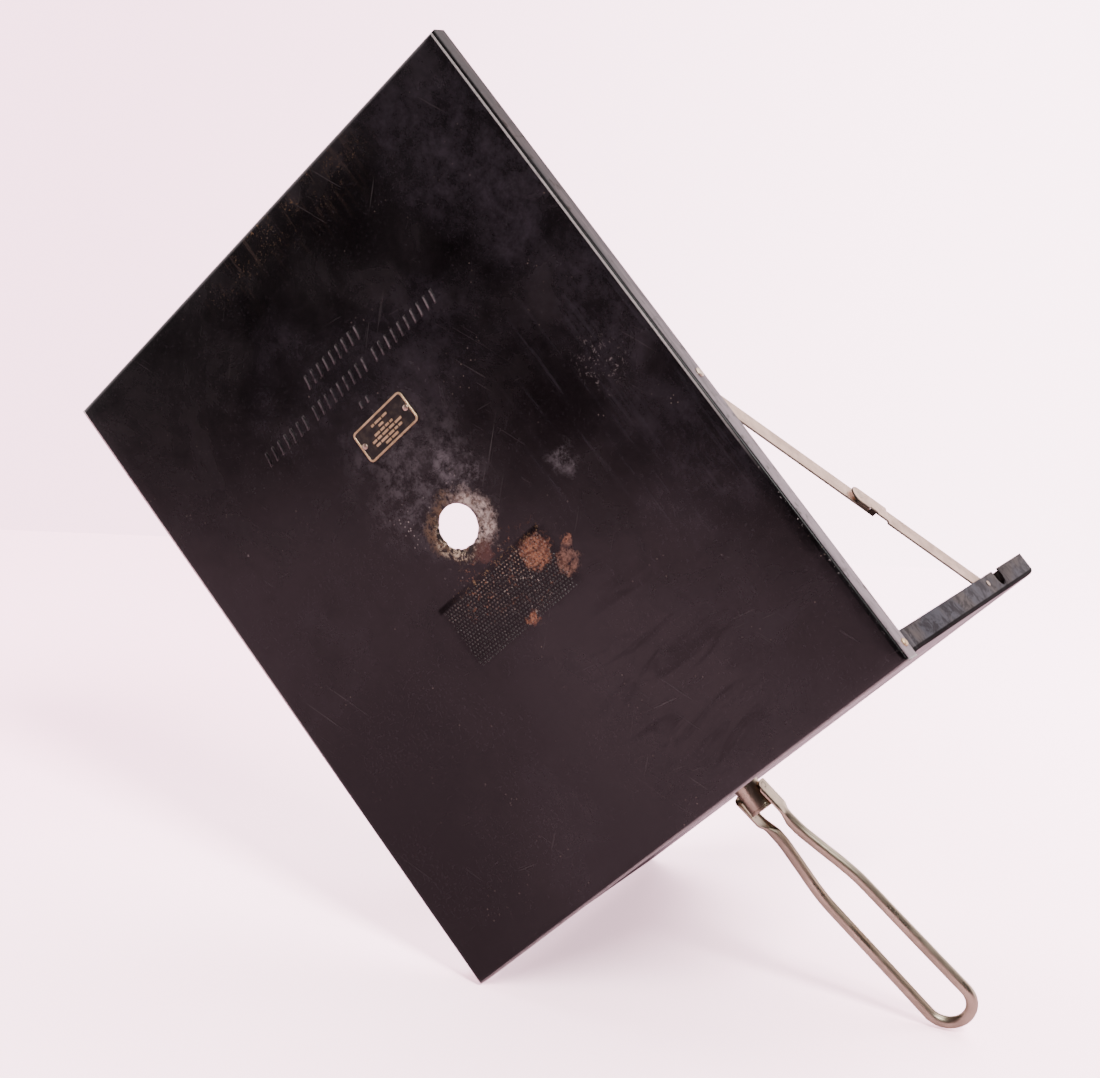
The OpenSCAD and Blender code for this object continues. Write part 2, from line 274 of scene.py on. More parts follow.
def burn_face(f):
    """Grey soot above the match hole, and its ring: bare metal at the upper right, gold and brown below."""
    soot = f.spots((9.4, HOLE_UP + 18.7, 9, 1.5, f.ragged), (15.9, HOLE_UP + 11, 7.5, 1.5, f.ragged),
                   (0, HOLE_UP + 20, 34, 6, f.wide, 0.55), (47, 119, 7, 1.5, f.ragged, 0.7))
    f.paint(f.mul(soot, f.fleck(210, 7, 0.80, 0.40, 0.62)), (0.175, 0.163, 0.174), 0.85)
    bare = f.spots((5.2, HOLE_UP - 0.4, 11.8, 5.2, f.ragged), (6.0, HOLE_UP - 2.6, 10.6, 5.4, f.ragged))
    bare = f.mul(bare, f.fleck(300, 6, 0.75, 0.30, 0.56))
    pale = f.mix(f.fleck(620, 5, 0.7, 0.40, 0.62), (0.82, 0.71, 0.62), (0.24, 0.175, 0.14))
    crust = f.mul(f.spot(-0.6, HOLE_UP + 0.2, 13.6, 9.2, f.ragged), f.minus(1.0, bare))
    crust = f.mul(crust, f.fleck(420, 5, 0.75, 0.38, 0.52))
    brown = f.mix(f.fleck(520, 5, 0.72, 0.40, 0.56), (0.018, 0.011, 0.009), (0.20, 0.125, 0.070))
    rim_gold = f.mul(f.spot(-1.6, HOLE_UP - 3.4, 11.6, 8.6, f.tiny), f.fleck(560, 5, 0.75, 0.47, 0.55))
    brown = f.mix(rim_gold, brown, (0.88, 0.74, 0.52))
    brown = f.mix(f.fleck(470, 6, 0.8, 0.57, 0.62), brown, (0.006, 0.004, 0.004))
    pits = f.mul(f.spot(-0.5, HOLE_UP - 1.6, 9.8, 9.0, f.tiny), f.fleck(350, 5, 0.8, 0.47, 0.53))
    f.paint(crust, brown, 0.9)
    f.paint(bare, pale, 0.92)
    f.paint(pits, (0.008, 0.006, 0.006), 0.92)
    f.paint(f.spot(2.6, HOLE_UP - 12.2, 5.0, 2.2, f.tiny), (0.105, 0.044, 0.031), 0.8)
    flakes = f.mul(f.spot(-4.0, HOLE_UP + 2.0, 25, 9, f.wide), f.span(f.voronoi(620), 0.26, 0.12))
    f.paint(f.mul(flakes, f.fleck(120, 3, 0.55, 0.47, 0.60)), (0.50, 0.45, 0.42))
    return f.most(bare, crust)


def strike_face(f):
    """The striker patch: painted shade along the crease above it, painted highlights on the points' tips,
    small painted glints, and rust where the matches struck.
    """
    # painted shade: a near-black band along the crease above the patch, stronger towards its ends, standing
    # for the crease's shadow
    crease_shade = f.window((106.6, 107.4, 109.6, 108.6), (-0.0268, -0.0252, 0.0256, 0.0240))
    crumbed = f.mul(crease_shade, f.fleck(620, 5, 0.8, 0.56, 0.62), f.across(-0.020, -0.006))
    crease_shade = f.mul(crease_shade, f.span(f.without_sign(f.o[0]), 0.010, 0.023, 0.35, 1.0))
    inside = f.window((82.5, 88.0, 108.2, 106.8), (-0.0270, -0.0235, 0.0290, 0.0245))
    f.paint(inside, (0.014, 0.0115, 0.0125), 0.45)
    # painted highlight: the points' tips are painted paler, and gold-brown towards the upper right, standing
    # for the light they catch
    tip_highlight = f.mul(f.span(f.o[1], -0.05632, -0.05642), inside, f.height(82, 103, 0.22, 1.0))
    f.paint(f.mul(tip_highlight, f.fleck(180, 5, 0.75, 0.38, 0.62, 0.05, 0.9)), (0.075, 0.064, 0.066))
    upper = f.plus(f.noise(150, 4, 0.7), f.mul(f.height(90, 106), 0.22))
    gold_tip_highlight = f.mul(tip_highlight, f.across(-0.020, 0.004, 0.15, 1.0), f.span(upper, 0.60, 0.70))
    f.paint(gold_tip_highlight, (0.50, 0.33, 0.22), 0.9)
    rust = f.spots((18.6, 102.0, 7.0, 4.2, f.tiny), (26.4, 92.8, 5.4, 3.2, f.tiny),
                   (2.8, 85.8, 3.0, 1.5, f.tiny), (30.2, 97.6, 2.6, 1.0, f.tiny))
    loose = f.spots((12, 101, 18, 5, f.ragged), (-7, 104, 14, 4, f.ragged, 0.9))
    rust = f.most(rust, f.mul(loose, f.fleck(460, 5, 0.80, 0.565, 0.63), 0.85))
    rust = f.mul(rust, f.fleck(760, 5, 0.75, 0.34, 0.50))
    tone = f.mix(f.fleck(900, 5, 0.80, 0.40, 0.58), (0.56, 0.265, 0.145), (0.150, 0.054, 0.034))
    dark = f.mix(f.fleck(480, 4, 0.7, 0.42, 0.58), (0.30, 0.17, 0.12), (0.060, 0.032, 0.026))
    tone = f.mix(f.spot(27.4, 91.8, 8.0, 5.0, f.tiny, 0.85), tone, dark)
    f.paint(rust, tone, 0.9)
    # painted glints: small pale flecks round the upper middle of the patch
    f.paint(f.mul(f.spot(8, 98, 17, 4, f.ragged), f.fleck(540, 5, 0.85, 0.615, 0.65)), (0.72, 0.62, 0.52))
    # the crease's painted shade, and the patch more lightly, also lower the specular level
    f.spec = f.mul(f.spec, f.minus(1.0, f.mul(f.most(crease_shade, f.mul(inside, 0.55)), 0.75)))
    f.paint(crease_shade, (0.0025, 0.0015, 0.0018), 0.8)
    f.paint(crumbed, (0.36, 0.24, 0.12), 0.8)
    return rust


def face_wear_and_crest_highlight(f):
    """Chipped spots, gold worn along the top edge, and a painted highlight on the pressed bars' crests."""
    chips = f.spots((73.2, 60.5, 2.2, 0.2, f.tiny), (-77, 170, 1.6, 0.4, f.tiny), (79, 135, 13, 3, f.ragged))
    f.paint(f.mul(chips, f.fleck(760, 5, 0.8, 0.57, 0.64)), (0.26, 0.23, 0.22), 0.75)
    along_top = f.mul(f.across(-0.040, -0.006), f.across(0.070, 0.036))
    gold = f.mul(f.height(234, 256), along_top)
    gold = f.mul(gold, f.front, f.fleck(800, 6, 0.8, 0.55, 0.62), f.fleck(120, 4, 0.7, 0.44, 0.56))
    brushed = f.noise(1.0, 5, 0.65, co=f.map(scale=(420, 420, 42), rot=(0, 0.72, 0)))
    fade = f.mul(f.mul(f.height(224, 254), along_top), f.span(brushed, 0.54, 0.66), f.front)
    f.paint(fade, (0.055, 0.040, 0.032), 0.6)
    f.paint(gold, (0.26, 0.16, 0.07), 0.85)
    # painted highlight: the bars' crests are painted paler, standing for the light they catch
    crest_highlight = f.mul(f.height(176, 178), f.height(204, 202), f.span(f.o[1], -0.05638, -0.05656))
    crest_highlight = f.mul(crest_highlight, f.across(-0.048, 0.046, 0.30, 1.0), f.fleck(160, 4, 0.7, 0.36, 0.60, 0.15, 1.0))
    f.paint(crest_highlight, (0.200, 0.175, 0.180))
    return gold


def wall_wear_and_painted_light(f):
    """The bend: a painted highlight line where it starts, partly rubbed-through enamel, then a painted dark
    band; the walls, painted paler and mauve towards the foot as a painted reflection, over rubbed streaks;
    and a painted highlight line along the foot.
    """
    ax = f.without_sign(f.o[0])
    rubbed = f.mul(f.height(70, 135), f.fleck(70, 5, 0.7, 0.30, 0.42))
    # painted highlight line at the start of the bend, partly rubbed-through enamel, which is made half metal
    worn_edge_and_highlight = f.mul(f.span(ax, 0.09995, 0.10018), f.span(ax, 0.10078, 0.10055), f.front,
                 f.most(rubbed, f.fleck(520, 6, 0.78, 0.60, 0.66)))
    # painted shade: a near-black band over the rest of the bend, with less specular, standing for its dark
    # reflection
    bend = f.mul(f.span(ax, 0.10055, 0.10080), f.span(f.o[1], -0.0549, -0.0553))
    f.spec = f.mul(f.spec, f.minus(1.0, f.mul(bend, 0.85)))
    f.paint(bend, (0.0022, 0.0014, 0.0016), 0.8)
    f.paint(worn_edge_and_highlight, (0.95, 0.88, 0.86))
    walls = f.span(f.o[1], -0.0553, -0.0549)
    rub = f.noise(1.0, 6, 0.7, co=f.map(scale=(420, 420, 60)), distort=0.5)
    # painted reflection: the walls run from near black at the top to paler mauve towards the foot, with
    # rubbed streaks laid over them
    low_down = f.height(240, 20)
    rub_and_reflection = f.mul(walls, f.span(f.plus(rub, f.mul(low_down, 0.16)), 0.42, 0.70))
    f.paint(walls, f.mix(low_down, (0.016, 0.0075, 0.0080), (0.088, 0.060, 0.072)), 0.9)
    f.paint(rub_and_reflection, f.mix(low_down, (0.046, 0.026, 0.025), (0.285, 0.212, 0.240)))
    stain = f.mul(walls, f.fleck(240, 6, 0.78, 0.55, 0.64))
    f.paint(stain, (0.024, 0.014, 0.011), 0.85)
    gloss = f.minus(f.span(low_down, 0.0, 0.8, -0.20, 0.30), f.mul(stain, 0.20))
    f.spec = f.plus(f.spec, f.mul(walls, gloss))
    f.rough = f.plus(f.rough, f.mul(walls, 0.18))
    # painted highlight: a pale line along the foot edge
    f.paint(f.mul(f.height(0.9, 0.25), f.span(rub, 0.35, 0.60, 0.6, 0.95)), (0.46, 0.435, 0.425))
    f.metal = f.mul(worn_edge_and_highlight, 0.5)


def wear_shield(t, patch):
    """Stained walls and dark bends, at places in the shield's own frame."""
    turn = Matrix.Rotation(-RISE, 3, "X")
    o = t.xyz(t.map(rot=(-RISE, 0, 0), loc=tuple(-(turn @ (HINGE * MM)))))
    rim = t.most(t.span(t.without_sign(o[0]), 0.0990, 0.0994), t.span(o[1], 0.1362, 0.1366))
    wall = t.mul(rim, t.span(o[2], -0.0030, -0.0025))
    bend = t.mul(t.minus(rim, wall), t.span(o[2], -0.00425, -0.0040))
    blot = t.span(t.noise(150, 6, 0.72, distort=0.7), 0.42, 0.60)
    warm = t.fleck(38, 4, 0.6, 0.44, 0.56)
    deep = t.mix(warm, (0.005, 0.005, 0.009), (0.012, 0.008, 0.007))
    t.paint(wall, t.mix(blot, deep, t.mix(warm, (0.042, 0.044, 0.058), (0.064, 0.050, 0.044))), 0.9)
    flake = t.mul(t.fleck(340, 5, 0.75, 0.62, 0.68), t.span(patch, 0.45, 0.6))
    t.paint(flake, (0.20, 0.18, 0.18), 0.6)
    t.paint(bend, (0.0025, 0.002, 0.002), 0.9)
    t.rough = t.plus(t.rough, t.mul(wall, t.span(blot, 0.0, 1.0, 0.12, 0.30)))
    t.rough = t.plus(t.rough, t.mul(bend, 0.35), clamp=True)
    t.spec = t.minus(0.45, t.mul(wall, t.span(blot, 0.0, 1.0, 0.40, 0.24)))
    t.spec = t.minus(t.spec, t.mul(bend, 0.42), clamp=True)


def enamel(name, kind):
    """Black japanned sheet: kind is 'pan', whose face carries the burnt and rusted marks, or 'shield'."""
    m = bpy.data.materials.new(name)
    t = Face(m) if kind == "pan" else Tree(m)
    fine = t.noise(260, 4, 0.6)
    cloud = t.noise(13, 7, 0.64, distort=0.7)
    patch = t.noise(42, 6, 0.66, distort=0.5)
    grime = t.mul(t.span(cloud, 0.44, 0.66), t.span(patch, 0.34, 0.62))
    t.color = t.mix(grime, (0.0030, 0.0019, 0.0024), (0.0160, 0.0125, 0.0150))
    t.rough = t.plus(t.span(cloud, 0.35, 0.7, 0.16, 0.26), t.span(patch, 0.40, 0.72, 0.0, 0.12))
    if kind == "pan":
        cloud_face(t)
        burnt = burn_face(t)
        rust = strike_face(t)
        gold = face_wear_and_crest_highlight(t)
        wall_wear_and_painted_light(t)
        t.rough = t.plus(t.rough, t.mul(t.most(burnt, rust, gold), 0.40), clamp=True)
    else:
        wear_shield(t, patch)
    specks = t.mul(t.span(t.voronoi(430), 0.15, 0.05), t.fleck(55, 3, 0.55, 0.56, 0.66))
    runs = ((900, 0.4, 0.70), (700, -0.9, 0.71), (1100, 1.35, 0.715))
    marks = t.most(*(scratches(t, *run) for run in runs))
    marks = t.mul(marks, t.fleck(22, 2, 0.55, 0.50, 0.68))
    point = t.add("NewGeometry").outputs["Pointiness"]
    edge = t.span(t.plus(point, t.mul(fine, 0.05)), 0.585, 0.65)
    grain = t.mul(t.fleck(820, 4, 0.85, 0.54, 0.70), t.fleck(36, 4, 0.7, 0.36, 0.64, 0.15, 0.6))
    t.paint(grain, (0.050, 0.043, 0.052))
    t.paint(specks, (0.19, 0.155, 0.13), 0.75)
    t.paint(marks, (0.10, 0.09, 0.09), 0.40)
    t.paint(edge, (0.19, 0.175, 0.165), 0.55)
    n = t.bump(t.noise(5.5, 2, 0.4), 0.22, 0.0020)
    n = t.bump(fine, 0.12, 0.00012, n)
    t.finish(t.bump(t.plus(marks, specks), 0.25, 0.00008, n))
    return m


# ---- metals
def nickel(name, tone=(0.67, 0.575, 0.43), rough=(0.24, 0.42), spots=0.6, flat=False):
    """Aged nickel plate. A flat strip's cut edges carry painted shade, darker than its broad faces, which
    look along X.
    """
    m = bpy.data.materials.new(name)
    t = Tree(m)
    cloud = t.noise(90, 5, 0.6, distort=0.3)
    t.color = t.mix(t.span(cloud, 0.35, 0.72), tone, tuple(c * 0.74 for c in tone))
    pits = t.mul(t.fleck(900, 4, 0.7, 0.60, 0.72), t.fleck(160, 3, 0.55, 0.40, 0.62))
    t.paint(pits, (0.19, 0.150, 0.115), spots)
    t.rough = t.plus(t.span(cloud, 0.3, 0.75, *rough), t.mul(pits, 0.25), clamp=True)
    t.metal = 1.0
    if flat:
        normal = t.xyz(t.add("NewGeometry").outputs["Normal"])
        # painted shade: the cut edges are darkened, standing for the shadow line along each strip's edge
        cut = t.span(t.without_sign(normal[0]), 0.93, 0.60)
        t.paint(t.fleck(260, 6, 0.75, 0.46, 0.70), (0.44, 0.32, 0.25), 0.65)
        t.paint(cut, (0.030, 0.023, 0.020), 0.95)
        t.rough = t.plus(t.rough, t.mul(cut, 0.3), clamp=True)
        t.metal = t.minus(1.0, t.mul(cut, 0.8))
    brushed = t.noise(1.0, 3, 0.6, co=t.map(scale=(2600, 260, 260), rot=(0.7, 0, 0)))
    t.finish(t.bump(pits, 0.25, 0.00006, t.bump(brushed, 0.10, 0.00006)))
    return m


def brass(name):
    m = bpy.data.materials.new(name)
    t = Tree(m)
    cloud = t.noise(260, 5, 0.65)
    t.color = t.mix(t.span(cloud, 0.35, 0.7), (0.95, 0.70, 0.42), (0.60, 0.42, 0.23))
    t.rough = t.span(cloud, 0.3, 0.7, 0.28, 0.5)
    t.metal = 0.6
    t.finish(t.bump(t.noise(1500, 3), 0.2, 0.00005))
    return m


def blackfill(name):
    m = bpy.data.materials.new(name)
    t = Tree(m)
    t.color = t.mix(t.fleck(500, 4, 0.55, 0.4, 0.7), (0.012, 0.009, 0.008), (0.05, 0.038, 0.028))
    t.rough = t.fleck(300, 3, 0.55, 0.3, 0.7, 0.35, 0.6)
    t.finish(t.bump(t.noise(900, 3), 0.2, 0.00004))
    return m


MAT_PAN = enamel("worn_enamel_face", "pan")
MAT_SHIELD = enamel("worn_enamel", "shield")
MAT_NICKEL = nickel("aged_nickel")
MAT_STAY = nickel("stay_nickel", tone=(0.84, 0.63, 0.50), rough=(0.34, 0.52), spots=0.5, flat=True)
# painted shade: a darkened copy of the stay nickel for the tongue behind the lap
MAT_SHADED_TONGUE = nickel("shaded_tongue_nickel", tone=(0.20, 0.155, 0.125), rough=(0.45, 0.6), spots=0.8)
MAT_RIVET = nickel("rivet_nickel", tone=(0.70, 0.55, 0.44), rough=(0.32, 0.5), spots=0.7)
# painted shade: a dark nickel for the rings that stand for each pip's dimple
MAT_DIMPLE_SHADE = nickel("pip_dimple_shade", tone=(0.10, 0.085, 0.07), rough=(0.4, 0.6))
MAT_BRASS = brass("tarnished_brass")
MAT_FILL = blackfill("nameplate_ground")


# ---- mesh helpers
def piece(name, verts, faces, body, mats, matrix=M_ROW, replaces=(), smooth=50, thick=None,
          bevel=None, face_mats=None):
    """A mesh piece in the row frame from millimetre vertices in a local frame."""
    me = bpy.data.meshes.new(name)
    me.from_pydata([tuple((matrix @ Vector(v)) * MM) for v in verts], [], faces)
    bm = bmesh.new()
    bm.from_mesh(me)
    bmesh.ops.remove_doubles(bm, verts=bm.verts, dist=1e-6)
    bmesh.ops.recalc_face_normals(bm, faces=bm.faces)
    bm.to_mesh(me)
    bm.free()
    ob = bpy.data.objects.new(name, me)
    bpy.context.scene.collection.objects.link(ob)
    for m in mats:
        me.materials.append(m)
    if face_mats and len(face_mats) == len(me.polygons):
        for p, k in zip(me.polygons, face_mats):
            p.material_index = k
    for p in me.polygons:
        p.use_smooth = True
    if thick:
        s = ob.modifiers.new("sheet", "SOLIDIFY")
        s.thickness = thick * MM
        s.offset = -1.0
        s.use_even_offset = True
    if bevel:
        b = ob.modifiers.new("edges", "BEVEL")
        b.width = bevel * MM
        b.segments = 2
        b.limit_method = "ANGLE"
        b.angle_limit = math.radians(42)
        b.harden_normals = True
    me.set_sharp_from_angle(angle=math.radians(smooth))
    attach(ob, body)
    if replaces:
        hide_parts(*replaces)
    return ob


def grid_faces(rows, cols, closed=False):
    """Quads between rows of vertices laid out row by row."""
    out = []
    for i in range(rows - 1):
        a, b = i * cols, (i + 1) * cols
        for j in range(cols if closed else cols - 1):
            k = (j + 1) % cols
            out.append((a + j, a + k, b + k, b + j))
    return out


def bridge(loops, flip=False):
    """Quads between closed loops of vertex numbers."""
    out = []
    for a, b in zip(loops, loops[1:]):
        for i in range(len(a)):
            k = (i + 1) % len(a)
            out.append((a[i], b[i], b[k], a[k]) if flip else (a[i], a[k], b[k], b[i]))
    return out


def lathe(profile, segs=48):
    """Vertices and faces of a turned solid from (radius, height) pairs, closed on the axis."""
    verts, faces = [], []
    n = len(profile)
    for i in range(segs):
        a = 2 * math.pi * i / segs
        verts += [(r * math.cos(a), r * math.sin(a), h) for r, h in profile]
    for i in range(segs):
        a, b = i * n, (i + 1) % segs * n
        for j in range(n - 1):
            if profile[j][0] < 1e-6:
                faces.append((a + j, a + j + 1, b + j + 1))
            elif profile[j + 1][0] < 1e-6:
                faces.append((a + j, a + j + 1, b + j))
            else:
                faces.append((a + j, a + j + 1, b + j + 1, b + j))
    return verts, faces


def join(parts):
    """One vertex and face list from several."""
    verts, faces = [], []
    for v, f in parts:
        s = len(verts)
        verts += v
        faces += [tuple(i + s for i in q) for q in f]
    return verts, faces


def arc(cx, cy, r, a0, a1, n):
    """Points on an arc, in degrees."""
    turns = [math.radians(a0 + (a1 - a0) * i / n) for i in range(n + 1)]
    return [(cx + r * math.cos(a), cy + r * math.sin(a)) for a in turns]


def spaced(lo, hi, n):
    return [lo + (hi - lo) * i / n for i in range(n + 1)]


def clamp(v):
    return min(max(v, 0.0), 1.0)


# ---- main pan
def waviness(x, z, k=0.09):
    long_wave = noise.noise(Vector((x / 48.0, z / 48.0, 3.1)))
    return k * long_wave + 0.35 * k * noise.noise(Vector((x / 15.0, z / 15.0, 8.7)))


def hole_lip(g):
    """Radius of the match hole's burnt, ragged lip at angle g."""
    soft = noise.noise(Vector((3.1 * math.cos(g), 3.1 * math.sin(g), 4.0)))
    sharp = noise.noise(Vector((13 * math.cos(g), 13 * math.sin(g), 9.0)))
    crumb = 0.45 + 0.5 * soft + 0.9 * sharp
    return HOLE_R - 0.85 * max(crumb, 0.0) * (0.55 - 0.45 * math.sin(g + 0.7))


def make_pan():
    hw, h = PAN_W / 2, PAN_H
    block = 14.0
    xs = spaced(-hw + BEND, -block, 20) + spaced(-block, block, 12)[1:] + spaced(block, hw - BEND, 20)[1:]
    lo, hi = HOLE_UP - block, HOLE_UP + block
    zs = spaced(BEND, lo, 26) + spaced(lo, hi, 12)[1:] + spaced(hi, h - BEND, 26)[1:]
    verts, faces, index = [], [], {}

    def at(x, z, y):
        key = (round(x, 3), round(z, 3), round(y, 3))
        if key not in index:
            index[key] = len(verts)
            verts.append((x, PAN_Y + y, PAN_Z + z))
        return index[key]

    def calm(x, z):
        """The face's waviness, which dies out at its edges and round the hole."""
        e = min(x + hw - BEND, hw - BEND - x, z - BEND, h - BEND - z, 12.0) / 12.0
        r = math.hypot(x, z - HOLE_UP)
        return waviness(x, z) * e * clamp((r - 9.0) / 12.0) if e > 0 else 0.0

    for i in range(len(xs) - 1):
        for j in range(len(zs) - 1):
            if abs(xs[i] + xs[i + 1]) / 2 < block and lo < (zs[j] + zs[j + 1]) / 2 < hi:
                continue
            q = [(xs[i], zs[j]), (xs[i + 1], zs[j]), (xs[i + 1], zs[j + 1]), (xs[i], zs[j + 1])]
            faces.append(tuple(at(a, b, calm(a, b)) for a, b in q))
    # rings from the square block to the hole, whose lip is turned in slightly
    side = spaced(-block, block, 12)
    square = [(v, -block) for v in side[:-1]] + [(block, v) for v in side[:-1]]
    square += [(v, block) for v in side[:0:-1]] + [(-block, v) for v in side[:0:-1]]
    rings = []
    for f in (0.0, 0.25, 0.5, 0.72, 0.88, 0.96, 1.0):
        ring = []
        for a, b in square:
            g = math.atan2(b, a)
            lip = hole_lip(g)
            cx, cz = lip * math.cos(g), lip * math.sin(g)
            x, z = a + (cx - a) * f, b + (cz - b) * f
            dip = 0.0 if f < 0.9 else 0.25 * (f - 0.9) / 0.1
            y = calm(x, z + HOLE_UP) + dip
            if f >= 0.96:
                y += 0.10 * noise.noise(Vector((x / 2.0, z / 2.0, 1.0)))
            ring.append(at(x, z + HOLE_UP, y))
        rings.append(ring)
    faces += bridge(rings)
    # bend and rim, as nested loops
    turns = [math.radians(a) for a in range(0, 91, 10)]
    prof = [(BEND - BEND * math.sin(a), BEND - BEND * math.cos(a)) for a in turns]
    prof += [(0.0, BEND + (RIM - BEND) * f) for f in (0.5, 1.0)]

    def loop(d, y):
        def sx(v):
            return -hw + d + (v + hw - BEND) * (PAN_W - 2 * d) / (PAN_W - 2 * BEND)

        def sz(v):
            return d + (v - BEND) * (h - 2 * d) / (h - 2 * BEND)

        pts = [(sx(v), d) for v in xs[:-1]] + [(hw - d, sz(v)) for v in zs[:-1]]
        pts += [(sx(v), h - d) for v in xs[:0:-1]] + [(-hw + d, sz(v)) for v in zs[:0:-1]]
        return [at(a, b, y) for a, b in pts]

    faces += bridge([loop(d, y) for d, y in prof], flip=True)
    piece("pan_sheet", verts, faces, "pan", [MAT_PAN], replaces=["main_pan"],
          thick=SHEET, bevel=0.18)


def pillow(x, z, w, h, tall, skew):
    """A pressed-up bar with soft flanks, closed below the face."""
    nx, nz, sunk = 5, 7, 0.06
    verts = []
    for j in range(nz + 1):
        for i in range(nx + 1):
            u, v = 2 * i / nx - 1, 2 * j / nz - 1
            k = (1 - u * u) * (1 - v ** 6)
            verts.append((x + u * w / 2 + skew * v * h / 2, PAN_Y + sunk - tall * k, PAN_Z + z + v * h / 2))
    faces = grid_faces(nz + 1, nx + 1)
    rim = [i for i in range(nx + 1)] + [(j + 1) * (nx + 1) - 1 for j in range(1, nz + 1)]
    rim += [nz * (nx + 1) + i for i in range(nx - 1, -1, -1)] + [j * (nx + 1) for j in range(nz - 1, 0, -1)]
    faces.append(tuple(rim))
    return verts, faces


def make_ornament():
    """Plain pressed bars, in two rows and a short third."""
    bar_w, bar_rise, skew, pitch, gap = 1.5, 0.45, 0.18, 3.4, 2.2
    parts = []
    rows = ((199.6, 33.0, 5.2, (1.0,)), (189.6, 96.0, 5.4, (0.28, 0.62, 1.0)), (180.2, 9.0, 2.6, (1.0,)))
    for up, width, tall, groups in rows:
        x = -width / 2
        for g in groups:
            end = g * width - width / 2
            n = max(2, int((end - x) / pitch))
            for i in range(n):
                parts.append(pillow(x + (i + 0.5) * (end - x - gap) / n, up, bar_w, tall, bar_rise, skew))
            x = end
    v, f = join(parts)
    piece("pressed_bars", v, f, "pan", [MAT_PAN], smooth=80)


def make_striker():
    """Rows of punched points below the match hole."""
    parts = []
    pitch, cols, rows, left, top = 1.27, 38, 18, -24.2, 106.4
    for j in range(rows):
        for i in range(cols):
            x = left + (i + (0.5 if j % 2 else 0.0)) * pitch + rng.uniform(-0.08, 0.08)
            z = top - j * pitch + rng.uniform(-0.08, 0.08)
            r, t = 0.41 + rng.uniform(-0.09, 0.07), 0.25 + rng.uniform(-0.10, 0.06)
            v, f = lathe([(0.0, t), (r * 0.45, t * 0.86), (r * 0.85, t * 0.3), (r, -0.04), (0.0, -0.04)], 8)
            parts.append(([(x + p[0], PAN_Y - p[2], PAN_Z + z + p[1]) for p in v], f))
    v, f = join(parts)
    piece("striker_points", v, f, "pan", [MAT_PAN], smooth=70)


def make_nameplate():
    """A plate with a raised border, and plain raised bars on its sunk ground."""
    w, h, middle = 12.7, 6.15, PAN_Z + PLATE_UP
    ground, bar_top, bar_hh, gap = 0.36, 0.47, 0.42, 0.55
    brass_face, ground_face = 0, 1

    def outline(d, r):
        x, z = w - d - r, h - d - r
        corners = ((x, z, 0), (-x, z, 90), (-x, -z, 180), (x, -z, 270))
        return [p for cx, cz, a in corners for p in arc(cx, cz, r, a, a + 90, 6)]

    levels = ((0.0, 1.7, -0.02), (0.0, 1.7, 0.40), (0.10, 1.6, 0.50), (0.62, 1.1, 0.50), (0.72, 1.0, 0.40))
    verts = [(x, PAN_Y - t, middle + z) for d, r, t in levels for x, z in outline(d, r)]
    n = 28
    faces = grid_faces(len(levels), n, closed=True)
    kinds = [brass_face] * len(faces) + [ground_face, brass_face]
    faces.append(tuple(range((len(levels) - 1) * n, len(levels) * n)))
    faces.append(tuple(range(n - 1, -1, -1)))
    rows = ((3.5, 8.6), (1.9, 3.4), (0.3, 10.5), (-1.2, 15.0), (-2.8, 14.0), (-4.3, 6.4))
    for z, width in rows:
        x = -width / 2
        while x < width / 2 - 0.6:
            seg = min(rng.uniform(1.3, 3.6), width / 2 - x)
            b = ((x, z - bar_hh), (x + seg, z - bar_hh), (x + seg, z + bar_hh), (x, z + bar_hh))
            s = len(verts)
            verts += [(p[0], PAN_Y - t, middle + p[1]) for t in (ground, bar_top) for p in b]
            faces += [(s + 4, s + 5, s + 6, s + 7)]
            faces += [(s + i, s + (i + 1) % 4, s + (i + 1) % 4 + 4, s + i + 4) for i in range(4)]
            faces += [(s + 3, s + 2, s + 1, s)]
            kinds += [brass_face] * 6
            x += seg + gap
    piece("nameplate_brass", verts, faces, "pan", [MAT_BRASS, MAT_FILL], replaces=["nameplate"],
          smooth=35, face_mats=kinds)


# ---- rivets
def dome(r, t, foot):
    """Profile of a domed rivet head standing t high from its foot."""
    turns = [math.radians(a) for a in range(15, 91, 15)]
    pts = [(0.0, t)] + [(r * math.sin(a), t * (0.25 + 0.75 * math.cos(a))) for a in turns]
    return pts + [(r * 0.985, foot), (0.0, foot)]


def shank(length):
    return [(0.0, 0.0), (1.0, 0.0), (1.0, length), (0.0, length)]


def side_lathe(s, profile, depth, hub, out):
    """A turned part on an X axis at one side: depth in from the pan's side, growing outwards or inwards."""
    v, f = lathe(profile, 28)
    k = s if out else -s
    return [(s * (PAN_W / 2 - depth) + k * p[2], hub[0] + p[0], hub[1] + p[1]) for p in v], f


def side_piece(name, node, side, body, mat, hub, turned, matrix=M_ROW):
    """One side's turned piece, from (profile, depth, grows outwards) triples on one X axis."""
    s = -1 if side == "left" else 1
    v, f = join([side_lathe(s, profile, depth, hub, out) for profile, depth, out in turned])
    piece(name + side, v, f, body, [mat], matrix=matrix, replaces=[node + side], smooth=40)


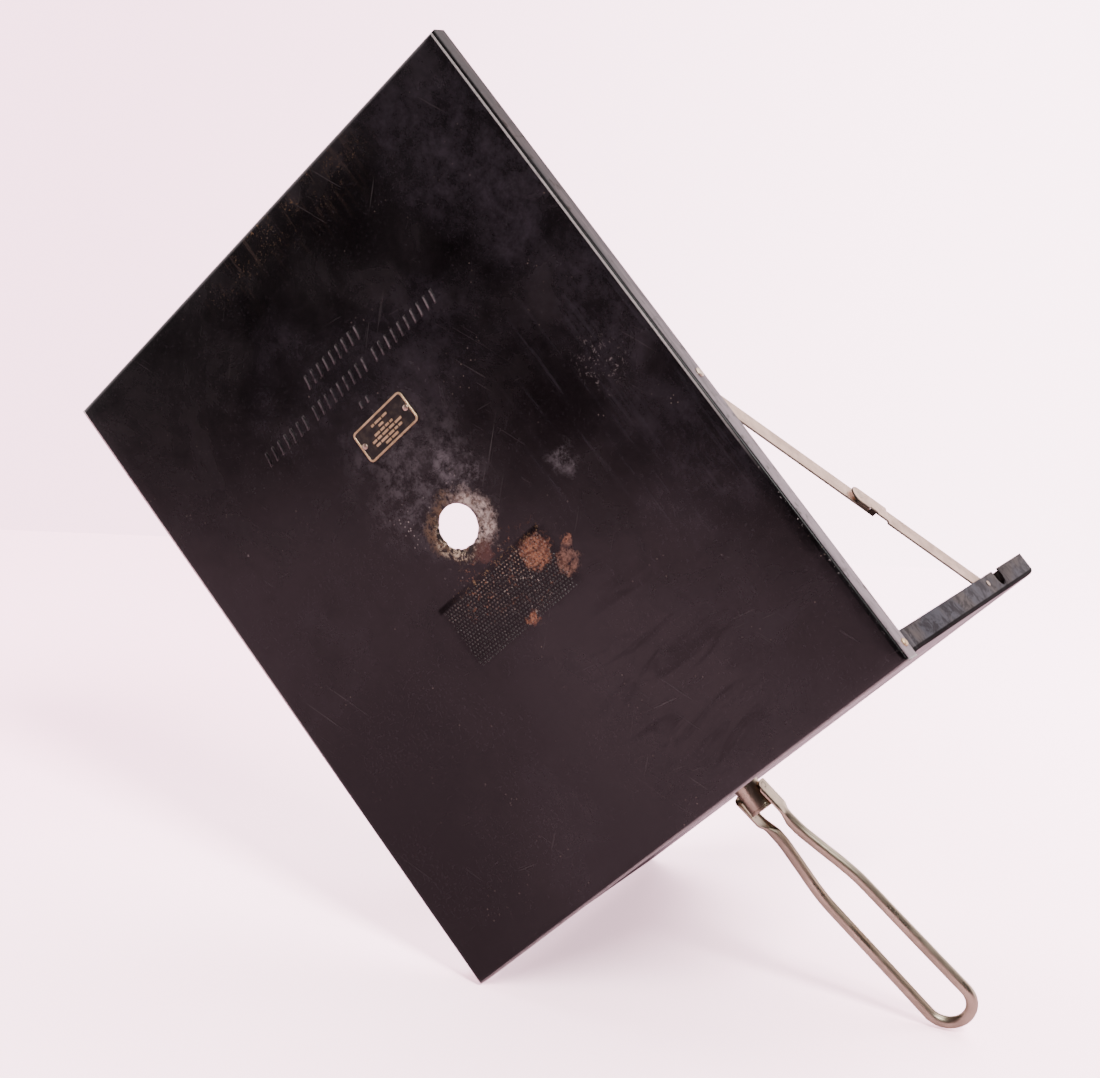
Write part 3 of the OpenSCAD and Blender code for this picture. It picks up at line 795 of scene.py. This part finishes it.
def make_rivets():
    v, f = lathe(dome(1.1, 0.5, -0.05), 24)
    w, g = lathe(dome(1.2, 0.35, -0.05), 24)
    parts = []
    for s in (-1, 1):
        x, z = s * 10.9, PAN_Z + PLATE_UP
        parts.append(([(x + p[0], PAN_Y - 0.36 - p[2], z + p[1]) for p in v], f))
        parts.append(([(x + p[0], PAN_Y + SHEET + p[2], z + p[1]) for p in w], g))
    a, b = join(parts)
    piece("nameplate_pins", a, b, "pan", [MAT_RIVET], replaces=["nameplate_rivets"], smooth=40)
    hinge, stay, rule = (HINGE.y, HINGE.z), (STAY.y, STAY.z), (0, -UPPER_L)
    spacer = [(1.1, 0.0), (2.0, 0.0), (2.0, 0.3), (1.82, 0.5), (1.82, 2.6), (2.0, 2.8), (2.0, 3.08),
              (1.1, 3.08), (1.1, 0.0)]
    stepped = [(0.0, -0.2), (1.0, -0.2), (1.0, 0.6), (1.9, 0.6), (1.9, 1.55), (1.0, 1.55), (1.0, 2.3),
               (0.9, 2.38), (0.0, 2.38)]
    hinge_parts = ((dome(1.45, 0.8, -0.1), 0.0, True), (dome(1.6, 0.65, -0.1), 1.65, False),
                   (shank(1.8), 0.0, False))
    stay_parts = ((dome(1.75, 0.65, -0.1), 0.0, True), (dome(1.9, 0.6, -0.05), 4.5, False),
                  (shank(4.6), 0.0, False))
    end_parts = ((dome(0.95, 0.22, -0.1), 1.3, True), (stepped, 1.3, False))
    inner_parts = ((dome(2.0, 0.6, -0.05), UPPER_IN + STRIP, False), (shank(0.8), UPPER_IN, False))
    outer_parts = ((dome(1.45, 0.13, -0.02), LAP_IN, True), (shank(1.5), LAP_IN - 0.05, False))
    for _, side in SIDES:
        side_piece("hinge_pin_", "hinge_rivet_", side, "pan", MAT_BRASS, hinge, hinge_parts)
        side_piece("stay_bush_", "stay_spacer_", side, "pan", MAT_NICKEL, stay,
                   ((spacer, SHEET, False),))
        side_piece("pan_stay_pin_", "pan_stay_rivet_", side, "pan", MAT_RIVET, stay, stay_parts)
        side_piece("shield_stay_pin_", "shield_stay_rivet_", side, "shield", MAT_RIVET, STAY_END,
                   end_parts, M_SHIELD)
        side_piece("rule_pin_inner_", "rule_rivet_inner_", side, "upper_stay_" + side, MAT_RIVET,
                   rule, inner_parts, M_STAY)
        side_piece("rule_pin_outer_", "rule_rivet_outer_", side, "lower_stay_" + side, MAT_RIVET,
                   rule, outer_parts, M_STAY)


# ---- shield pan
def shield_wall_top(y):
    """Height of the shield's side walls, with a round notch that clears the pan's stay pin when folded."""
    d = abs(y - NOTCH_Y)
    if d > NOTCH_R + 0.01:
        return WALL_TOP
    if d >= NOTCH_R - 1e-6:
        return NOTCH_FOOT + NOTCH_R
    return NOTCH_FOOT + NOTCH_R - math.sqrt(NOTCH_R ** 2 - d ** 2)


def make_shield():
    hw, length, r = SHIELD_HW, SHIELD_L, SHIELD_BEND
    start, wall_start = -1.0, 9.5
    near, far = NOTCH_Y - NOTCH_R, NOTCH_Y + NOTCH_R
    notch = [NOTCH_Y + NOTCH_R * math.sin(math.radians(a)) for a in range(-80, 81, 10)]
    walls = spaced(wall_start, near - 0.03, 16) + [near] + notch + [far] + spaced(far + 0.03, length - r, 6)
    xs = spaced(-hw + r, hw - r, 36)
    # plate with its bends and walls, following the open side's path
    turns = [math.radians(a) for a in range(0, 91, 15)]
    prof = [(r - r * math.sin(a), -DROP + r - r * math.cos(a)) for a in turns]
    verts = []
    for d, z in prof + [(0.0, None)]:
        end_z = WALL_TOP if z is None else z
        sides = [(y, shield_wall_top(y) if z is None else z) for y in walls]
        row = [(-hw + d, y, up) for y, up in sides] + [(-hw + d, length - d, end_z)]
        row += [(x * (hw - d) / (hw - r), length - d, end_z) for x in xs[1:-1]]
        row += [(hw - d, length - d, end_z)] + [(hw - d, y, up) for y, up in reversed(sides)]
        verts += row
    edges = (verts, grid_faces(len(prof) + 1, len(row)))
    # flat floor of the shield
    ys = spaced(start, wall_start, 2)[:-1] + walls + [length - r]
    gv = []
    for y in ys:
        for x in xs:
            e = min(hw - r - abs(x), length - r - y, 10.0) / 10.0
            gv.append((x, y, -DROP + max(e, 0.0) * waviness(x + 300, y, 0.10)))
    gf = []
    for q in grid_faces(len(ys), len(xs)):
        cx = sum(gv[i][0] for i in q) / 4
        cy = sum(gv[i][1] for i in q) / 4
        if math.hypot(cx, cy - BUSH_IN) > 2.0:
            gf.append(q)
    v, f = join([edges, (gv, gf)])
    piece("shield_sheet", v, f, "shield", [MAT_SHIELD], matrix=M_SHIELD,
          replaces=["shield_pan"], thick=SHEET, bevel=0.15)
    # the hinge ears, set out past the joggle
    ear_r = 3.9
    for s, side in SIDES:
        cols = [-3.88, -3.7, -3.3, -2.8, -2.0, -1.0, 0.0, 2.0, 4.5, 7.0, 7.5, 8.2, 8.9, 9.4, 9.6]
        ev = []
        for y in cols:
            f = clamp((y - 7.0) / 2.4)
            x = hw + 0.3 - 0.3 * (3 * f * f - 2 * f ** 3)
            round_end = math.sqrt(max(ear_r ** 2 - y * y, 0.0))
            up = WALL_TOP if y >= 0 else min(WALL_TOP, round_end)
            down = -DROP + 0.3 if y >= 0 else -round_end
            if y > 9.0:
                down = -DROP + 1.0
            ev += [(s * x, y, down + (up - down) * k / 5) for k in range(6)]
        piece("shield_ear_" + side, ev, grid_faces(len(cols), 6), "shield", [MAT_SHIELD],
              matrix=M_SHIELD, thick=SHEET, bevel=0.12)


# ---- stays
def strip(s, stations, t=STRIP, edge=0.26):
    """A flat strip with softened edges: stations of (length, low n, high n, depth in of its outer face)."""
    verts = []
    for l, a, b, x in stations:
        e = min(edge, (b - a) / 2.2)
        middle = (a + b) / 2
        ring = [(x + e, a), (x, a + e), (x, middle), (x, b - e), (x + e, b), (x + t - e, b), (x + t, b - e),
                (x + t, middle), (x + t, a + e), (x + t - e, a)]
        verts += [(s * (PAN_W / 2 - p[0]), p[1], -l) for p in ring]
    n = 10
    faces = grid_faces(len(stations), n, closed=True)
    faces.append(tuple(range(n)))
    faces.append(tuple(range((len(stations) - 1) * n, len(stations) * n)))
    return verts, faces


def rounded(l0, hw, top, x):
    """Stations of a round strip end centred at l0, from its tip to full width, cut off above at top."""
    out = []
    for i in range(9):
        a = math.radians(4 + 86 * i / 8)
        out.append((l0 - hw * math.cos(a), -hw * math.sin(a), min(hw * math.sin(a), top), x))
    return out


def make_stays():
    hw, top, rule, lug = STRIP_HW, STRIP_TOP, UPPER_L, 0.6
    lap_end = rule + LAP
    upper = rounded(0.0, hw, hw, UPPER_IN) + [(l, -hw, hw, UPPER_IN) for l in spaced(3.0, rule - 1.0, 10)]
    tongue = ((1.5, 2.4), (4.0, 0.5), (6.0, -0.6), (7.2, -1.5), (7.5, -1.9))
    upper += [(rule + l, -hw, b, UPPER_IN) for l, b in tongue]
    lug_ends = ((4.9, LUG_IN + 0.1), (5.1, LUG_IN), (7.3, LUG_IN), (7.5, LUG_IN + 0.1))
    stop = [(rule + l, -hw, -hw + lug, x) for l, x in lug_ends]
    notch = ((4.3, 0.0), (4.6, 0.8), (7.8, 0.8), (8.1, 0.0), (LAP - 0.7, 0.0))
    lower = rounded(rule, hw, top, LAP_IN) + [(rule + l, -hw + cut, top, LAP_IN) for l, cut in notch]
    joggle = ((-0.2, LAP_IN + 0.12), (0.3, LOWER_IN - 0.12), (0.8, LOWER_IN))
    lower += [(lap_end + l, -hw, top, x) for l, x in joggle]
    lower += [(l, -hw, top, LOWER_IN) for l in spaced(lap_end + 2.0, STAY_L - 2.0, 8)]
    lower += [(STAY_L * 2 - l, a, b, x) for l, a, b, x in reversed(rounded(STAY_L, hw, top, LOWER_IN))]
    back = M_STAY.inverted()
    for s, side in SIDES:
        v, f = join([strip(s, upper), strip(s, stop, t=2.3, edge=0.12)])
        ob = piece("upper_strip_" + side, v, f, "upper_stay_" + side, [MAT_STAY, MAT_SHADED_TONGUE],
                   matrix=M_STAY, replaces=["upper_link_" + side], smooth=32)
        # the tongue and lug past the rule joint take the darkened nickel, painted shade for them behind the
        # lap
        for p in ob.data.polygons:
            p.material_index = 1 if (back @ (p.center / MM)).z < -rule + 1.0 else 0
        v, f = strip(s, lower)
        piece("lower_strip_" + side, v, f, "lower_stay_" + side, [MAT_STAY], matrix=M_STAY,
              replaces=["lower_link_" + side], smooth=32)


# ---- bush and handle
def make_bush():
    lo, pitch = BUSH_LOW, 1.27
    out = [(3.5, lo), (4.45, lo), (4.75, lo + 0.3), (4.75, lo + 1.0), (4.55, lo + 1.15), (4.55, lo + 1.3),
           (4.68, lo + 1.45), (4.68, -5.0), (4.75, -4.7), (4.75, -4.2), (3.9, -4.2), (3.9, -3.6), (6.1, -3.6),
           (6.3, -3.4), (6.2, -2.95), (5.9, -2.8), (3.7, -2.8), (3.4, -3.0)]
    z = -3.2
    thread = []
    while z > lo + 1.0:
        thread += [(3.22, z), (3.62, z - 0.5), (3.62, z - 0.75)]
        z -= pitch
    v, f = lathe(out + thread + [(3.25, lo + 0.3), (3.5, lo)], 64)
    piece("bush_turned", v, f, "shield", [MAT_NICKEL], matrix=M_BUSH, replaces=["tripod_bush"],
          smooth=38)


def section(closed, web, lip, n=28):
    """Section of the rolled strip: closed is 0 for the open channel and 1 for the tube."""
    pts = []
    gap = math.radians(7)
    flat = 2 * web + 2 * lip
    for i in range(n + 1):
        s = 2 * i / n - 1
        a = s * (math.pi - gap)
        tube = (TUBE_R * math.cos(a), TUBE_R * math.sin(a))
        d = abs(s) * flat / 2
        g = 1 if s >= 0 else -1
        cr = min(0.9, web * 0.6, max(lip, 0.01))
        straight = web - cr
        bend = cr * math.pi / 2
        if d <= straight:
            ch = (TUBE_R, g * d)
        elif d <= straight + bend:
            b = (d - straight) / cr
            ch = (TUBE_R - cr + cr * math.cos(b), g * (straight + cr * math.sin(b)))
        else:
            ch = (TUBE_R - cr - (d - straight - bend), g * web)
        pts.append((ch[0] + (tube[0] - ch[0]) * closed, ch[1] + (tube[1] - ch[1]) * closed))
    return pts


def curve_at(keys, l, last):
    """A smooth curve through (length, value) keys, which stays at the last value beyond them."""
    for i, ((a, x), (b, y)) in enumerate(zip(keys, keys[1:])):
        if l <= b:
            f = clamp((l - a) / (b - a))
            p = keys[max(i - 1, 0)]
            q = keys[min(i + 2, len(keys) - 1)]
            m0 = (y - p[1]) / (b - p[0])
            m1 = (q[1] - x) / (q[0] - a)
            h = b - a
            return ((2 * f ** 3 - 3 * f * f + 1) * x + (f ** 3 - 2 * f * f + f) * h * m0
                    + (3 * f * f - 2 * f ** 3) * y + (f ** 3 - f * f) * h * m1)
    return last


def make_handle():
    loop_up = HANDLE_L - LOOP_R - TUBE_R
    jaw_start, jaw_r, jaw_web, jaw_lip = 1.9, 2.4, 3.5, 0.75
    # one leg from the jaw's top down, as (length, half spacing)
    keys = [(-jaw_start, 3.8), (4, 3.8), (10, 3.82), (16, 3.95), (21, 4.2), (27, 5.1), (33, 6.1), (40, 7.25),
            (46, 7.95), (53, 8.15), (62, 8.22), (80, 8.4), (loop_up, LOOP_R)]

    def spacing(l):
        return curve_at(keys, l, LOOP_R)

    lengths = [-jaw_start, -1.75, -1.4, -0.9, -0.3, 0.5, 1.6, 3.0, 5.0, 7.0] + spaced(8.5, 16.5, 8) + [18]
    lengths += spaced(20, loop_up, 44)
    leg = []
    for l in lengths:
        dx = (spacing(l + 0.5) - spacing(l - 0.5)) if l > 12 else 0.0
        leg.append((Vector((spacing(l), 0, -l)), Vector((dx, 0, -1)).normalized(), l))
    stations = list(leg)
    for i in range(1, 36):
        a = math.pi * i / 36
        at = Vector((LOOP_R * math.cos(a), 0, -loop_up - LOOP_R * math.sin(a)))
        stations.append((at, Vector((-math.sin(a), 0, -math.cos(a))), HANDLE_L))
    stations += [(Vector((-p.x, 0, p.z)), Vector((t.x, 0, -t.z)), l) for p, t, l in reversed(leg)]
    verts = []
    for p, t, l in stations:
        out = Vector((0, 1, 0)).cross(t).normalized()
        if l > loop_up - 1.0:
            out = Vector((p.x, 0, p.z + loop_up)).normalized()
        elif out.x * p.x < 0:
            out = -out
        closed = clamp((l - 9.5) / 7.5)
        closed = closed * closed * (3 - 2 * closed)
        web, lip = jaw_web, jaw_lip
        if l < 0.5:
            h = min(l + jaw_start, jaw_r)
            web = 1.1 + math.sqrt(max(jaw_r ** 2 - (jaw_r - h) ** 2, 0.0))
            lip = jaw_lip * clamp((l + 0.9) / 1.6)
        verts += [tuple(p + out * a + Vector((0, b, 0))) for a, b in section(closed, web, lip)]
    piece("handle_strip", verts, grid_faces(len(stations), 29), "handle", [MAT_NICKEL],
          matrix=M_HANDLE, replaces=["handle"], thick=0.55, bevel=0.08, smooth=55)
    # the pressed pips, and a dark ring on the jaw's outer side round each, painted shade that stands for the
    # pip's dimple
    pips, rings = [], []
    for s in (-1, 1):
        v, f = lathe([(0.0, 0.9), (0.55, 0.85), (0.9, 0.55), (0.9, -0.55), (0.0, -0.6)], 20)
        pips.append(([(s * (5.0 - p[2]), p[0], p[1]) for p in v], f))
        ring = []
        for i in range(22):
            a = math.radians(-150 + 300 * i / 21)
            for k in range(6):
                b = 2 * math.pi * k / 6
                r = 1.05 + 0.16 * math.cos(b)
                ring.append((s * (5.93 + 0.06 * math.sin(b)), r * math.cos(a), r * math.sin(a)))
        faces = grid_faces(22, 6, closed=True) + [tuple(range(6)), tuple(range(126, 132))]
        rings.append((ring, faces))
    v, f = join(pips)
    piece("handle_pips", v, f, "handle", [MAT_NICKEL], matrix=M_HANDLE, smooth=40)
    v, f = join(rings)
    piece("pip_shade_rings", v, f, "handle", [MAT_DIMPLE_SHADE], matrix=M_HANDLE, smooth=60)


make_pan()
make_ornament()
make_striker()
make_nameplate()
make_rivets()
make_shield()
make_stays()
make_bush()
make_handle()


# ---- stage
UP = Vector((0.760, -0.020, 0.650)).normalized()
FWD = Vector((-0.4739, 0.86439, 0.16805)).normalized()
RIGHT = FWD.cross(UP).normalized()
MID = Vector((0, 0, 0.08))


def make_floor():
    """A pale table, seen through from below, whose far edge is just above the object's foot."""
    me = bpy.data.meshes.new("floor")
    bm = bmesh.new()
    feet = ((-101.6, -56.2, 9.0), (-101.6, -48.4, 9.0), (-99.6, 86.5, 12.5))
    low = min((Vector(c) * MM).dot(UP) for c in feet)
    ahead = (FWD - UP * FWD.dot(UP)).normalized()
    side = ahead.cross(UP).normalized()
    mid = UP * (low - 0.0004)
    n, left, width, near, far_mid, far_slant = 24, -0.78, 2.0, -0.62, 0.565, 0.284
    rows = []
    for j in range(n + 1):
        row = []
        for i in range(n + 1):
            s = left + width * i / n
            far = far_mid + far_slant * s
            row.append(bm.verts.new(mid + ahead * (near + (far - near) * j / n) + side * s))
        rows.append(row)
    for j in range(n):
        for i in range(n):
            bm.faces.new((rows[j][i], rows[j][i + 1], rows[j + 1][i + 1], rows[j + 1][i]))
    bm.to_mesh(me)
    bm.free()
    if me.polygons[0].normal.dot(UP) < 0:
        me.flip_normals()
    ob = bpy.data.objects.new("floor", me)
    bpy.context.scene.collection.objects.link(ob)
    m = bpy.data.materials.new("pale_floor")
    t = Tree(m)
    geo = t.add("NewGeometry").outputs
    seen = t.add("LightPath").outputs["Is Camera Ray"]
    soft = t.fleck(5, 3, 0.5, 0.35, 0.7)
    plain = t.mix(soft, (0.92, 0.62, 0.72), (0.88, 0.59, 0.69))
    s, a = t.dot(geo["Position"], side), t.dot(geo["Position"], ahead)
    white = t.mix(soft, (3.95, 2.78, 3.18), (3.8, 2.6, 3.0))
    # painted light: seen straight on, the floor is pinker towards the far left and brighter towards the far
    # right
    white = t.mix(t.span(t.minus(a, s), 0.18, 0.50), white, (3.85, 2.35, 2.88))
    white = t.mix(t.span(t.plus(s, t.mul(a, 0.45)), 0.10, 0.42), white, (5.0, 3.6, 4.15))
    # painted glow that only the camera sees, stronger on the left
    painted_glow = t.mix(t.span(s, -0.05, -0.28), (0.9, 0.61, 0.71), (1.25, 0.75, 0.92))
    lit = t.shader("AddShader", t.shader("BsdfDiffuse", Color=t.mix(seen, plain, white)),
                   t.shader("Emission", Color=painted_glow, Strength=seen))
    clear = t.shader("BsdfTransparent")
    t.output("Material", t.shader("MixShader", geo["Backfacing"], lit, clear))
    me.materials.append(m)


def make_world():
    """Pale backdrop ahead, brightest low down, and a dark room behind the viewer."""
    w = bpy.data.worlds.new("soft_room")
    bpy.context.scene.world = w
    t = Tree(w, "Generated")
    power = t.mul(t.span(t.dot(t.co, FWD), -0.45, 0.25, 0.03, 1.0),
                  t.span(t.dot(t.co, UP), 0.27, 0.52, 2.5, 0.55))
    room = t.shader("Background", Color=(1.0, 0.84, 0.88, 1), Strength=power)
    tint = t.mix(t.span(t.dot(t.co, RIGHT), -0.24, 0.24), (5.3, 3.05, 3.85), (7.9, 5.5, 6.3))
    backdrop = t.shader("Background", Color=tint)
    seen = t.add("LightPath").outputs["Is Camera Ray"]
    t.output("World", t.shader("MixShader", seen, room, backdrop))


def area(name, at, size, power, color):
    """A soft light that looks at the object's middle."""
    li = bpy.data.lights.new(name, "AREA")
    li.shape = "RECTANGLE"
    li.size, li.size_y = size
    li.energy = power
    li.color = color
    ob = bpy.data.objects.new(name, li)
    bpy.context.scene.collection.objects.link(ob)
    ob.location = at
    ob.rotation_euler = (MID - at).to_track_quat("-Z", "Y").to_euler()


def make_camera():
    cam = bpy.data.cameras.new("camera")
    cam.sensor_fit = "HORIZONTAL"
    cam.sensor_width = 36.0
    cam.lens = 72.40
    cam.clip_start, cam.clip_end = 0.01, 20
    cam.dof.use_dof = False
    ob = bpy.data.objects.new("camera", cam)
    bpy.context.scene.collection.objects.link(ob)
    right = Vector((0.66010, 0.47503, -0.58191))
    up = Vector((0.58283, 0.16483, 0.79570))
    m = Matrix((right, up, -FWD)).transposed().to_4x4()
    m.translation = Vector((0.37008, -0.68430, -0.01111))
    ob.matrix_world = m
    bpy.context.scene.camera = ob


make_floor()
make_world()
area("key", MID + UP * 1.15 - FWD * 1.0 + RIGHT * 0.45, (0.45, 0.45), 26, (1.0, 0.97, 0.95))
area("overhead", MID + UP * 1.5 + RIGHT * 0.5 + FWD * 0.35, (1.8, 1.4), 22, (1.0, 0.96, 0.97))
make_camera()
